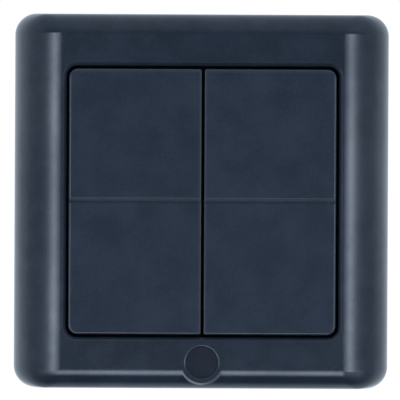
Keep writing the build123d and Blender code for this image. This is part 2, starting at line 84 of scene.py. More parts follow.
# ================================================================ mesh tools
class Shell:
    """A mesh under construction. Every face has a smoothing group and a finish,
    and a vertex may have an exact normal in a group; else the normal is the
    average over the group's faces around it."""

    def __init__(self):
        self.points, self.faces, self.groups, self.finish, self.exact = [], [], [], [], {}

    def vert(self, x, h, z):
        self.points.append((x * MM, -h * MM, z * MM))
        return len(self.points) - 1

    def normal(self, v, group, n):
        self.exact[v, group] = n

    def face(self, ids, group, finish=0):
        kept = []
        for v in ids:
            if not kept or v != kept[-1]:
                kept.append(v)
        if len(kept) > 1 and kept[0] == kept[-1]:
            kept.pop()
        if len(kept) < 3:
            return
        self.faces.append(kept)
        self.groups.append(group)
        self.finish.append(finish)

    def band(self, ring_a, ring_b, group, finish=0, skip=()):
        n = len(ring_a)
        for i in range(n):
            if i in skip:
                continue
            j = (i + 1) % n
            self.face((ring_a[i], ring_a[j], ring_b[j], ring_b[i]), group, finish)

    def strip(self, line_a, line_b, group, finish=0):
        for i in range(len(line_a) - 1):
            self.face((line_a[i], line_a[i + 1], line_b[i + 1], line_b[i]), group, finish)

    def prism(self, outline, low, high, axis, group, finish=0):
        """A closed prism. outline is a list of 2-D points; axis says what they are:
        'x' points are (z, h) and the prism runs along x, 'h' points are (x, z) and
        it runs along h, 'z' points are (x, h) and it runs along z."""

        def place(p, t):
            if axis == "x":
                return self.vert(t, p[1], p[0])
            if axis == "h":
                return self.vert(p[0], t, p[1])
            return self.vert(p[0], p[1], t)

        a = [place(p, low) for p in outline]
        b = [place(p, high) for p in outline]
        for i in range(len(a)):
            j = (i + 1) % len(a)
            self.face((a[i], a[j], b[j], b[i]), (group, i), finish)
        self.face(a[::-1], (group, "a"), finish)
        self.face(b, (group, "b"), finish)

    def build(self, name, materials):
        mesh = bpy.data.meshes.new(name)
        mesh.from_pydata(self.points, [], self.faces)
        mesh.update()
        bm = bmesh.new()
        bm.from_mesh(mesh)
        bmesh.ops.recalc_face_normals(bm, faces=bm.faces[:])
        bm.to_mesh(mesh)
        bm.free()
        for m in materials:
            mesh.materials.append(m)
        mesh.polygons.foreach_set("material_index", self.finish)
        mesh.polygons.foreach_set("use_smooth", [True] * len(self.faces))
        sums = {}
        for poly, group in zip(mesh.polygons, self.groups):
            vs = list(poly.vertices)
            n = np.array(poly.normal)
            for k, v in enumerate(vs):
                p = Vector(self.points[v])
                e1 = Vector(self.points[vs[k - 1]]) - p
                e2 = Vector(self.points[vs[(k + 1) % len(vs)]]) - p
                angle = e1.angle(e2, 0.0) if e1.length and e2.length else 0.0
                key = (v, group)
                sums[key] = sums.get(key, 0) + n * max(angle, 1e-6)
        normals = []
        for poly, group in zip(mesh.polygons, self.groups):
            for v in poly.vertices:
                n = self.exact.get((v, group))
                n = np.array(n if n is not None else sums[v, group], float)
                length = np.linalg.norm(n)
                n = n / length if length > 1e-9 else np.array(poly.normal)
                normals.append(n.tolist())
        mesh.normals_split_custom_set(normals)
        obj = bpy.data.objects.new(name, mesh)
        scene.collection.objects.link(obj)
        return obj


K = 0.5523  # how far a quarter arc's handles reach


def corner(ax, az, ex, ez, qx, qz, n):
    """n + 1 points of a corner whose outer lines are x = ax and z = az, from the
    x line to the z line or back, with outward 2-D normals. qx, qz are the signs
    of the quadrant."""
    out = []
    p0, p1 = (ax, az - ez), (ax, az - ez + K * ez)
    p2, p3 = (ax - ex + K * ex, az), (ax - ex, az)
    for i in range(n + 1):
        t = i / n
        u = 1 - t
        x = u**3 * p0[0] + 3 * u * u * t * p1[0] + 3 * u * t * t * p2[0] + t**3 * p3[0]
        z = u**3 * p0[1] + 3 * u * u * t * p1[1] + 3 * u * t * t * p2[1] + t**3 * p3[1]
        dx = 3 * (u * u * (p1[0] - p0[0]) + 2 * u * t * (p2[0] - p1[0]) + t * t * (p3[0] - p2[0]))
        dz = 3 * (u * u * (p1[1] - p0[1]) + 2 * u * t * (p2[1] - p1[1]) + t * t * (p3[1] - p2[1]))
        size = sqrt(dx * dx + dz * dz) or 1.0
        out.append((qx * x, qz * z, qx * dz / size, -qz * dx / size))
    return out if qx * qz > 0 else out[::-1]


def loop(a, b, reach, sides, n):
    """A closed ring of (x, z, nx, nz), anticlockwise seen from the room, from the
    foot of the right side. reach gives (ex, ez) of the right and left corners and
    sides the fixed points of the right, top, left and bottom sides."""
    (rx, rz), (lx, lz) = reach
    right, top, left, bottom = sides
    ring = [(a, z, 1.0, 0.0) for z in right]
    tr = corner(a, b, rx, rz, 1, 1, n)
    tl = corner(a, b, lx, lz, -1, 1, n)
    bl = corner(a, b, lx, lz, -1, -1, n)
    br = corner(a, b, rx, rz, 1, -1, n)
    return (
        [br[-1]]
        + ring
        + tr
        + [(x, b, 0.0, 1.0) for x in top]
        + tl
        + [(-a, z, -1.0, 0.0) for z in left]
        + bl
        + [(x, -b, 0.0, -1.0) for x in bottom]
        + br[:-1]
    )


# ================================================================ material tools
class Nodes:
    """Short names for building a node tree."""

    def __init__(self, tree):
        self.tree = tree

    def new(self, kind, **values):
        node = self.tree.nodes.new(kind)
        for key, value in values.items():
            setattr(node, key, value)
        return node

    def link(self, a, b):
        self.tree.links.new(a, b)

    def put(self, socket, value):
        if isinstance(value, bpy.types.NodeSocket):
            self.link(value, socket)
        else:
            socket.default_value = value

    def math(self, op, a, b=None, c=None, clamp=False):
        node = self.new("ShaderNodeMath", operation=op, use_clamp=clamp)
        for i, v in enumerate((a, b, c)):
            if v is not None:
                self.put(node.inputs[i], v)
        return node.outputs[0]

    def ramp(self, value, low, high, to_low=0.0, to_high=1.0, smooth=True):
        node = self.new("ShaderNodeMapRange", interpolation_type="SMOOTHSTEP" if smooth else "LINEAR")
        node.clamp = True
        for i, v in enumerate((value, low, high, to_low, to_high)):
            self.put(node.inputs[i], v)
        return node.outputs[0]

    def mix(self, share, a, b):
        node = self.new("ShaderNodeMix", data_type="RGBA")
        self.put(node.inputs[0], share)
        for socket, v in ((node.inputs[6], a), (node.inputs[7], b)):
            self.put(socket, v if isinstance(v, bpy.types.NodeSocket) else (*v, 1.0))
        return node.outputs[2]

    def noise(self, coords, size_mm, detail=2.0, rough=0.5, stretch=None):
        if stretch:
            mapping = self.new("ShaderNodeMapping")
            self.link(coords, mapping.inputs[0])
            mapping.inputs["Scale"].default_value = stretch
            coords = mapping.outputs[0]
        node = self.new("ShaderNodeTexNoise")
        self.link(coords, node.inputs["Vector"])
        node.inputs["Scale"].default_value = 1000.0 / size_mm
        node.inputs["Detail"].default_value = detail
        node.inputs["Roughness"].default_value = rough
        return node.outputs["Fac"]


def material(name):
    m = bpy.data.materials.new(name)
    m.use_nodes = True
    n = Nodes(m.node_tree)
    shader = m.node_tree.nodes["Principled BSDF"]
    where = n.new("ShaderNodeTexCoord").outputs["Object"]
    return m, n, shader, where


def moulded(
    name, colour, vary=0.12, rough=(0.085, 0.12), grain=0.11, depth=0.6, specks=0.0, flow=0.0, specular=0.5, cloudy=0.0, painted_edge_highlight=None
):
    """Moulded plastic: a fine eroded grain, slow changes of tone and of gloss, and
    a few specks of dust. cloudy is how much its sheen changes from place to place.
    The last argument is (inner side, top, front) of a key in mm: it paints a highlight, a lighter line along the key's
    top edge and its edge beside the middle gap."""
    m, n, shader, where = material(name)
    fine = n.noise(where, grain, 1.0, 0.5)
    middle = n.noise(where, grain * 3.3, 1.0, 0.5)
    slow = n.noise(where, 6.0, 3.0, 0.55)
    dark = tuple(c * (1 - vary) for c in colour)
    light = tuple(c * (1 + vary) for c in colour)
    tone = n.math("ADD", n.math("MULTIPLY", slow, 0.55), n.math("MULTIPLY", middle, 0.45))
    tone = n.ramp(tone, 0.38, 0.62)
    base = n.mix(tone, dark, light)
    gloss = n.math("ADD", n.math("MULTIPLY", slow, 0.5), n.math("MULTIPLY", fine, 0.5))
    gloss = n.ramp(gloss, 0.35, 0.65, rough[0], rough[1])
    if specks:
        cells = n.new("ShaderNodeTexVoronoi")
        n.link(where, cells.inputs["Vector"])
        cells.inputs["Scale"].default_value = 1000.0 / 5.0
        lucky = n.new("ShaderNodeSeparateColor")
        n.link(cells.outputs["Color"], lucky.inputs[0])
        chosen = n.math("GREATER_THAN", lucky.outputs[0], 1.0 - specks)
        size = n.math("MULTIPLY_ADD", lucky.outputs[1], 0.022, 0.012)
        spot = n.math("LESS_THAN", cells.outputs["Distance"], size)
        spot = n.math("MULTIPLY", spot, chosen)
        base = n.mix(n.math("MULTIPLY", spot, 0.35), base, (0.25, 0.27, 0.30))
        gloss = n.math("ADD", gloss, n.math("MULTIPLY", spot, 0.3))
    # painted highlight: the base colour is lightened in a thin line along a key's top edge and its edge beside the
    # middle gap, standing in for the light those edges catch
    if painted_edge_highlight:
        split = n.new("ShaderNodeSeparateXYZ")
        n.link(where, split.inputs[0])
        x, y, z = split.outputs
        close = n.math("SUBTRACT", painted_edge_highlight[0] * MM, n.math("ABSOLUTE", x))
        close = n.math("MAXIMUM", close, n.math("SUBTRACT", z, painted_edge_highlight[1] * MM))
        painted_highlight_mask = n.math("MULTIPLY", n.ramp(close, -1.0 * MM, -0.4 * MM), n.ramp(close, -0.3 * MM, 0.0, 1.0, 0.15))
        painted_highlight_mask = n.math("MULTIPLY", painted_highlight_mask, n.ramp(y, (0.3 - painted_edge_highlight[2]) * MM, (0.6 - painted_edge_highlight[2]) * MM, 1.0, 0.0))
        painted_highlight_mask = n.math("MULTIPLY", painted_highlight_mask, n.ramp(n.noise(where, 2.2, 3.0, 0.6), 0.3, 0.6, 0.55, 1.0))
        base = n.mix(painted_highlight_mask, base, tuple(c + 0.011 for c in colour))
    n.link(base, shader.inputs["Base Color"])
    n.link(gloss, shader.inputs["Roughness"])
    shader.inputs["Specular IOR Level"].default_value = specular
    if cloudy:
        clouds = n.math("MULTIPLY_ADD", n.noise(where, 24.0, 1.0, 0.5), 0.7, n.math("MULTIPLY", n.noise(where, 3.0, 2.0, 0.6), 0.3))
        clouds = n.ramp(clouds, 0.33, 0.67, specular * (1 - cloudy), specular * (1 + cloudy))
        n.link(clouds, shader.inputs["Specular IOR Level"])
    height = n.math("ADD", n.math("MULTIPLY", fine, 0.5), n.math("MULTIPLY", middle, 1.0))
    if flow:
        lines = n.noise(where, 2.5, 2.0, 0.5, stretch=(0.08, 1.0, 1.0))
        height = n.math("ADD", height, n.math("MULTIPLY", lines, flow))
    bump = n.new("ShaderNodeBump")
    bump.inputs["Strength"].default_value = depth
    bump.inputs["Distance"].default_value = 0.000012
    n.link(height, bump.inputs["Height"])
    n.link(bump.outputs[0], shader.inputs["Normal"])
    return m


def metal(name, colour, rough=(0.22, 0.36), brushed=(1.0, 1.0, 1.0), size=0.5, depth=0.25, stain=0.15):
    """Sheet or wire metal with drawing marks and a slight tarnish."""
    m, n, shader, where = material(name)
    marks = n.noise(where, size, 4.0, 0.65, stretch=brushed)
    cloud = n.noise(where, 3.0, 3.0, 0.55)
    n.link(
        n.mix(
            n.ramp(cloud, 0.3, 0.75, 0.0, stain * 3),
            colour,
            tuple(c * f for c, f in zip(colour, (0.78, 0.72, 0.62))),
        ),
        shader.inputs["Base Color"],
    )
    n.link(n.ramp(marks, 0.3, 0.7, rough[0], rough[1]), shader.inputs["Roughness"])
    shader.inputs["Metallic"].default_value = 1.0
    bump = n.new("ShaderNodeBump")
    bump.inputs["Strength"].default_value = depth
    bump.inputs["Distance"].default_value = 0.000015
    n.link(marks, bump.inputs["Height"])
    n.link(bump.outputs[0], shader.inputs["Normal"])
    return m


BLUE = (0.0150, 0.0245, 0.0430)

blue = moulded("blue_moulded", tuple(c * 0.93 for c in BLUE), rough=(0.08, 0.11), depth=0.55, specks=0.10, cloudy=0.2)
# the keys get a painted highlight, a lighter line along their top edge and their edge beside the middle gap
blue_key = moulded("blue_moulded_key", tuple(c * 1.07 for c in BLUE), rough=(0.085, 0.115), depth=0.5, specks=0.16, painted_edge_highlight=(0.18, 29.1, 14.8))
# painted shade: a copy of the blue at half its colour and with little gloss, for the opening's wall, ledge and seat,
# so the gap round the keys reads dark
blue_painted_shade = moulded("blue_moulded_painted_shade", tuple(c * 0.5 for c in BLUE), rough=(0.5, 0.6), grain=0.2, depth=0.3, specular=0.08)
blue_floor = moulded("blue_moulded_recess", (0.0036, 0.0088, 0.0185), rough=(0.22, 0.28), grain=0.3, depth=0.15, specular=0.22)

# ================================================================ surround
SIDE_FLAT, SIDE_R, END_FLAT, END_R, CORNER_R, TOP = 30.7, 10.3, 36.8, 4.2, 4.8, 14.0
OPEN_A, OPEN_B, OPEN_R, OPEN_EDGE = 29.87, 29.74, 2.3, 0.8  # at the foot of the bevel
FOOT_A, FOOT_B, FOOT_R = 29.95, 29.8, 2.35  # at the foot of the opening's drafted wall
BOSS_Z, BOSS_R, BOSS_FLAT_R, BOSS_EDGE_R = 35.25, 5.0, 4.4, 2.0
RECESS_R, RECESS_RIM, RECESS_DEPTH = 3.38, 0.5, 0.55
NC = 20  # steps round a corner


def contour(c, side_flat, side_r, end_flat, end_r, corner_r):
    cs, ce = min(c, side_r), min(c, end_r)
    half_x = side_flat + sqrt(2 * side_r * cs - cs * cs)
    half_z = end_flat + sqrt(2 * end_r * ce - ce * ce)
    reach_x = (corner_r**-4 + (2 * c * side_r) ** -2) ** -0.25
    reach_z = (corner_r**-4 + (2 * c * end_r) ** -2) ** -0.25
    return half_x, half_z, reach_x, reach_z


def opening_edge():
    """The opening's bevelled edge from its wall up to the flat: (run, distance out
    from the wall, h, normal (out, front)). Tilts are from the flat; the bevel bows
    out a little, its foot is rounded and its upper corner is crisp."""
    tilts = [90, 80, 64, 48, 40, 35, 32, 30, 29, 29, 29, 29, 29, 29, 15, 0]
    widths = [0, 0.004, 0.01, 0.018, 0.03, 0.045, 0.065, 0.08, 0.09, 0.09, 0.09, 0.09, 0.09, 0.08, 0.011, 0.009]
    scale = OPEN_EDGE / sum(widths)
    points, d, h = [], 0.0, 0.0
    for i, (tilt, width) in enumerate(zip(tilts, widths)):
        if i:
            middle = radians((tilt + tilts[i - 1]) / 2)
            d += width * scale
            h += width * scale * min(tan(middle), 12.0)
        points.append((d, h, radians(tilt)))
    out, run = [], 0.0
    for i, (d, h, tilt) in enumerate(points):
        if i:
            run += sqrt((d - points[i - 1][0]) ** 2 + (h - points[i - 1][1]) ** 2)
        out.append((run, d, TOP - points[-1][1] + h, (-sin(tilt), cos(tilt))))
    return out


EDGE = opening_edge()


def surround():
    s = Shell()
    rib_z = (-22.5, -21.5, 21.5, 22.5)
    rib_x = (-20.5, -19.5, 19.5, 20.5)
    patch = 9.0
    right = list(rib_z[:2]) + [-11.0, 0.0, 11.0] + list(rib_z[2:])
    top = [20.5, 19.5, 10.0, 0.0, -10.0, -19.5, -20.5]
    left = right[::-1]
    inner = [-patch + 2 * patch * i / 20 for i in range(21)]
    bottom = [-20.5, -19.5] + inner + [19.5, 20.5]
    sides = (right, top, left, bottom)

    def ring(a, b, ex, ez):
        return loop(a, b, ((ex, ez), (ex, ez)), sides, NC)

    def put(points, h):
        return [s.vert(x, h, z) for x, z, _, _ in points]

    template = ring(40, 40, 5, 5)
    count = len(template)

    def column(x=None, z=None, side="bottom"):
        for i, (px, pz, nx, nz) in enumerate(template):
            if side == "bottom" and nz == -1 and px == x and pz == -40:
                return i
            if side == "top" and nz == 1 and px == x and pz == 40:
                return i
            if side == "right" and nx == 1 and pz == z and px == 40:
                return i
            if side == "left" and nx == -1 and pz == z and px == -40:
                return i

    first, last = column(x=-patch), column(x=patch)
    block = set(range(first, last))
    front = "front"

    # ---- front: rounded edge of the opening, flat, rolls, outside wall, back edge
    rings = []  # vertex ids
    runs = []  # distance along the lower profile, for the patch round the boss
    for run, d, h, (nd, nh) in EDGE:
        pts = ring(OPEN_A + d, OPEN_B + d, OPEN_R + d, OPEN_R + d)
        ids = put(pts, h)
        for v, (_, _, nx, nz) in zip(ids, pts):
            s.normal(v, front, (nx * nd, -nh, nz * nd))
        rings.append(ids)
        runs.append(run)
    flat_start = runs[-1]
    edge_ring = len(rings) - 1
    for i in range(13):
        a, b = 30.77 + 0.02 * i / 12, 31.2 + 5.4 * i / 12
        reach = 2.6 - 2.0 * i / 12
        pts = ring(a, b, reach, reach)
        ids = put(pts, TOP)
        for v in ids:
            s.normal(v, front, (0, -1, 0))
        rings.append(ids)
        runs.append(flat_start + b - OPEN_B - OPEN_EDGE)
    roll_start = flat_start + END_FLAT - OPEN_B - OPEN_EDGE
    outside = (SIDE_FLAT, SIDE_R, END_FLAT, END_R, CORNER_R)

    def rolled(c):
        return ring(*contour(c, *outside))

    depths = [0.001] + [END_R * (1 - cos(radians(t))) for t in (2.6, 4, 5.5, 7, 8.5, 10, 11.5, 13, 14.5, 16, 18, 20, 22.5, 25, 27.5, 30, 33, 36, 39, 42, 45, 48.5, 52, 56, 60, 64, 68, 72, 76, 80, 85, 90)]
    end_ring = None
    side_angle = acos(1 - END_R / SIDE_R)
    depths += [SIDE_R * (1 - cos(side_angle + (pi / 2 - side_angle) * t / 16)) for t in range(1, 17)]
    for c in depths:
        pts = rolled(c)
        ids = put(pts, TOP - c)
        step = max(c * 1e-3, 1e-6)
        lo, hi = rolled(max(c - step, 1e-7)), rolled(min(c + step, SIDE_R - 1e-9))
        dc = min(c + step, SIDE_R - 1e-9) - max(c - step, 1e-7)
        for i, (v, (x, z, nx, nz)) in enumerate(zip(ids, pts)):
            dx, dz = (hi[i][0] - lo[i][0]) / dc, (hi[i][1] - lo[i][1]) / dc
            # along the ring is (-nz, nx); across it is (dx, -1, dz) in (x, h, z)
            grow = nx * dx + nz * dz
            n = np.array((nx, -grow, nz))
            if c >= SIDE_R - 1e-6:
                n = np.array((nx, 0.0, nz))
            s.normal(v, front, tuple(n / np.linalg.norm(n)))
        rings.append(ids)
        if c <= END_R + 1e-9:
            runs.append(roll_start + END_R * acos(1 - min(c, END_R) / END_R))
            end_ring = len(rings) - 1
    wall = contour(SIDE_R, *outside)
    back_edge = 0.35
    for i in range(5):
        psi = pi / 2 * i / 4
        d = back_edge * (1 - cos(psi))
        pts = ring(wall[0] - d, wall[1] - d, wall[2] - d, wall[3] - d)
        ids = put(pts, back_edge * (1 - sin(psi)))
        for v, (_, _, nx, nz) in zip(ids, pts):
            s.normal(v, front, (nx * cos(psi), sin(psi), nz * cos(psi)))
        rings.append(ids)
    for i in range(len(rings) - 1):
        s.band(rings[i], rings[i + 1], front, skip=block if edge_ring <= i < end_ring else ())

    # ---- back rim and the hollow inside
    hollow = (SIDE_FLAT, SIDE_R - 2.0, END_FLAT, END_R - 2.0, CORNER_R - 2.0)
    low = contour(SIDE_R - 2.0, *hollow)
    inner_rings = []
    pts = ring(low[0] + 0.25, low[1] + 0.25, low[2] + 0.25, low[3] + 0.25)
    lip = put(pts, 0.0)
    s.band(rings[-1], lip, "rim")
    inner_rings.append(lip)
    inner_rings.append(put(ring(*low), 0.25))
    s.band(lip, inner_rings[-1], "lip")
    wall_rings = [inner_rings[-1]]
    for h in (3.9, 5.0):
        c = min(12.2 - h, SIDE_R - 2.0)
        wall_rings.append(put(ring(*contour(c, *hollow)), h))
    rib_level = len(wall_rings) - 1
    for c in (6.0, 4.9, 3.9, 3.0, 2.2, 1.7, 1.25, 0.85, 0.5, 0.25, 0.1, 0.0255):
        wall_rings.append(put(ring(*contour(c, *hollow)), 12.2 - c))
    sk_a, sk_b, sk_r = FOOT_A + 1.3, FOOT_B + 1.3, FOOT_R + 1.3
    skirt_top = put(ring(sk_a, sk_b, sk_r, sk_r), 12.2)
    skirt_low = put(ring(sk_a, sk_b, sk_r, sk_r), 7.2)
    skirt_in = put(ring(FOOT_A, FOOT_B, FOOT_R, FOOT_R), 7.2)
    ledge_low = put(ring(26.5, 26.5, 2.0, 2.0), 7.2)
    ledge_top = put(ring(26.5, 26.5, 2.0, 2.0), 8.4)
    seat = put(ring(FOOT_A, FOOT_B, FOOT_R, FOOT_R), 8.4)

    # ribs that tie the outside wall to the skirt
    ribs = []
    for x0 in (-20.5, 19.5):
        ribs.append((column(x=x0, side="bottom"), column(x=x0 + 1.0, side="bottom"), "bottom"))
        ribs.append((column(x=x0 + 1.0, side="top"), column(x=x0, side="top"), "top"))
    for z0 in (-22.5, 21.5):
        ribs.append((column(z=z0, side="right"), column(z=z0 + 1.0, side="right"), "right"))
        ribs.append((column(z=z0 + 1.0, side="left"), column(z=z0, side="left"), "left"))
    gaps = {i for i, _, _ in ribs}
    for i in range(len(wall_rings) - 1):
        s.band(wall_rings[i], wall_rings[i + 1], "hollow", skip=gaps if i >= rib_level else ())
    s.band(wall_rings[-1], skirt_top, "ceiling", skip=gaps)
    s.band(skirt_top, skirt_low, "skirt", skip=gaps)
    s.band(skirt_low, skirt_in, "skirt_low", skip=gaps)
    # finish 2 is the painted-shade copy of the blue: it darkens the skirt's foot, ledge, seat and opening wall down in
    # the gap
    s.band(skirt_in, ledge_low, "skirt_low", 2)
    s.band(ledge_low, ledge_top, "ledge", 2)
    s.band(ledge_top, seat, "seat", 2)
    for v, (_, _, nx, nz) in zip(seat, ring(FOOT_A, FOOT_B, FOOT_R, FOOT_R)):
        s.normal(v, front, (-nx, 0, -nz))
    s.band(seat, rings[0], front, 2)
    for n, (i, j, side) in enumerate(ribs):
        foot = []
        for k in (i, j):
            x, _, z = (p / MM for p in s.points[skirt_in[k]])
            foot.append(s.vert(x, 5.0, z))
        s.face((wall_rings[rib_level][i], wall_rings[rib_level][j], foot[1], foot[0]), ("rib", n, "low"))
        s.face((foot[0], foot[1], skirt_in[j], skirt_in[i]), ("rib", n, "end"))
        for k, f in ((i, foot[0]), (j, foot[1])):
            climb = [r[k] for r in wall_rings[rib_level:]]
            # the side is filled as a strip between the outside wall and the skirt
            s.face([f, skirt_in[k], skirt_low[k], skirt_top[k]] + climb[::-1], ("rib", n, "side", k))

    # ---- the patch round the boss, in (x, run) space
    s_flat, s_roll = flat_start, roll_start

    edge_runs = np.array([e[0] for e in EDGE])
    edge_ds = np.array([e[1] for e in EDGE])

    def profile(run):
        """Lower profile of the surround: depth below the middle, h, and normal (y, z)."""
        if run <= s_flat:
            d = float(np.interp(run, edge_runs, edge_ds))
            h = float(np.interp(run, edge_runs, [e[2] for e in EDGE]))
            nd = float(np.interp(run, edge_runs, [e[3][0] for e in EDGE]))
            return OPEN_B + d, h, (-sqrt(max(0.0, 1 - nd * nd)), -nd)
        if run <= s_roll:
            return OPEN_B + OPEN_EDGE + run - s_flat, TOP, (-1.0, 0.0)
        th = (run - s_roll) / END_R
        return END_FLAT + END_R * sin(th), TOP - END_R * (1 - cos(th)), (-cos(th), -sin(th))

    def run_of(d):
        if d <= OPEN_B + OPEN_EDGE:
            return float(np.interp(d - OPEN_B, edge_ds, edge_runs))
        if d <= END_FLAT:
            return s_flat + d - OPEN_B - OPEN_EDGE
        return s_roll + END_R * asin((d - END_FLAT) / END_R)

    edge = []  # (x, run, vertex), clockwise seen from the room, from the upper left
    for i in range(edge_ring, end_ring):
        edge.append((patch, runs[i], rings[i][last]))
    for k in range(last, first, -1):
        edge.append((s.points[rings[end_ring][k]][0] / MM, runs[end_ring], rings[end_ring][k]))
    for i in range(end_ring, edge_ring, -1):
        edge.append((-patch, runs[i], rings[i][first]))
    for k in range(first, last):
        edge.append((s.points[rings[edge_ring][k]][0] / MM, flat_start, rings[edge_ring][k]))
    mid_run = run_of(BOSS_Z)

    def foot_r(al):
        """Radius of the boss's foot; in the flat above the boss it keeps clear of the opening's edge."""
        t = min(max((degrees(al if al > -pi / 2 else al + 2 * pi) + 10) / 55, 0.0), 1.0)
        t = min(t, min(max((190 - degrees(al if al > -pi / 2 else al + 2 * pi)) / 55, 0.0), 1.0))
        return BOSS_R - 0.55 * t * t * (3 - 2 * t)

    def scaled(r, al):
        """A ring's radius r, drawn in with the foot."""
        low = RECESS_R + RECESS_RIM
        return low + (r - low) * (foot_r(al) - low) / (BOSS_R - low)

    table = []
    for i in range(1441):
        al = -pi + 2 * pi * i / 1440
        x, d = foot_r(al) * cos(al), BOSS_Z - foot_r(al) * sin(al)
        table.append((atan2(mid_run - run_of(d), x), al))
    table.sort()
    bs, als = np.array([t[0] for t in table]), np.array([t[1] for t in table])
    angles = [float(np.interp(atan2(mid_run - r, x), bs, als)) for x, r, _ in edge]
    layers = [[v for _, _, v in edge]]
    for t in (0.22, 0.42, 0.6, 0.76, 0.89, 1.0):
        row = []
        for (x, r, _), al in zip(edge, angles):
            cx, cr = foot_r(al) * cos(al), run_of(BOSS_Z - foot_r(al) * sin(al))
            px, pr = x + (cx - x) * t, r + (cr - r) * t
            d, h, (ny, nz) = profile(pr)
            v = s.vert(px, h, -d)
            s.normal(v, front, (0, ny, nz))
            row.append(v)
        layers.append(row)
    for a, b in zip(layers, layers[1:]):
        s.band(a, b, front)
    foot = layers[-1]

    def disc(r):
        if r <= BOSS_FLAT_R:
            return TOP, 0.0
        th = asin(min(1.0, (r - BOSS_FLAT_R) / BOSS_EDGE_R))
        return TOP - BOSS_EDGE_R * (1 - cos(th)), th

    # boss: where the surround stays higher than the boss's rounded edge, the surround goes on
    crown = []
    rim_h, rim_th = disc(BOSS_R - 0.06)
    base_h = rim_h - 0.07
    shoulder = []
    for v, al in zip(foot, angles):
        x, h, z = (p / MM for p in s.points[v])
        h = -h
        if h < base_h - 0.02:
            shoulder.append(s.vert(x, base_h, z))
            s.normal(shoulder[-1], "boss_side", (cos(al), 0, sin(al)))
            s.normal(v, "boss_side", (cos(al), 0, sin(al)))
            s.normal(shoulder[-1], "boss_edge", (cos(al), 0, sin(al)))
        else:
            shoulder.append(v)
    s.band(foot, shoulder, "boss_side")
    rows = [shoulder]
    for r in (BOSS_R - 0.06, 4.88, 4.8, 4.7, 4.6, 4.5, BOSS_FLAT_R, 4.15, RECESS_R + RECESS_RIM):
        row = []
        for al in angles:
            ra = scaled(r, al)
            x, d = ra * cos(al), BOSS_Z - ra * sin(al)
            dh, th = disc(ra)
            fh, (ny, nz) = profile(run_of(d))[1:]
            v = s.vert(x, max(dh, fh), -d)
            if dh >= fh:
                n = (sin(th) * cos(al), -cos(th), sin(th) * sin(al))
            else:
                n = (0, ny, nz)
            s.normal(v, "boss_top", n)
            s.normal(v, "boss_edge", n)
            row.append(v)
        rows.append(row)
    for v, al in zip(shoulder, angles):
        if (v, "boss_edge") not in s.exact:
            s.normal(v, "boss_edge", s.exact[v, front])
    s.band(rows[0], rows[1], "boss_edge")
    for a, b in zip(rows[1:], rows[2:]):
        s.band(a, b, "boss_top")
    previous = rows[-1]
    for i in range(1, 8):
        psi = pi / 2 * i / 7
        r, h = RECESS_R + RECESS_RIM - RECESS_RIM * sin(psi), TOP - RECESS_RIM + RECESS_RIM * cos(psi)
        row = []
        for al in angles:
            v = s.vert(r * cos(al), h, -BOSS_Z + r * sin(al))
            s.normal(v, "boss_top", (-sin(psi) * cos(al), -cos(psi), -sin(psi) * sin(al)))
            row.append(v)
        s.band(previous, row, "boss_top")
        previous = row
    floor_h = TOP - RECESS_DEPTH
    row = [s.vert(RECESS_R * cos(al), floor_h, -BOSS_Z + RECESS_R * sin(al)) for al in angles]
    s.band(previous, row, "recess_wall", 1)
    previous = row
    for r in (2.6, 1.7, 0.8):
        row = [s.vert(r * cos(al), floor_h, -BOSS_Z + r * sin(al)) for al in angles]
        s.band(previous, row, "recess_floor", 1)
        previous = row
    middle = s.vert(0, floor_h, -BOSS_Z)
    for i in range(len(previous)):
        s.face((previous[i], previous[(i + 1) % len(previous)], middle), "recess_floor", 1)
    return s.build("surround", [blue, blue_floor, blue_painted_shade])


surround_obj = surround()
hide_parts("frame")
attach(surround_obj, "housing")

# ================================================================ rockers
KEY_X, KEY_A, KEY_B, KEY_FACE = 14.825, 14.525, 29.1, 14.8
KEY_EDGE, KEY_OUT_R, KEY_IN_R = 0.4, 2.0, 0.5
KEY_CRISP = 0.55
GROOVE = ((-0.40, 0.0), (-0.28, 0.36), (-0.18, 0.38), (-0.12, 0.35), (0.15, 0.243), (0.85, 0.0))  # z, depth
PIVOT_H = 11.2


def groove(z):
    """Depth of the fine groove and its slope, corners eased over 0.02 mm."""
    heights, drops = zip(*GROOVE)

    def sharp(u):
        return float(np.interp(u, heights, drops, left=0.0, right=0.0))

    w, n = 0.02, 16
    depth = sum(sharp(z + w * (2 * (i + 0.5) / n - 1)) for i in range(n)) / n
    slope = (sharp(z + w) - sharp(z - w)) / (2 * w)
    return depth, slope


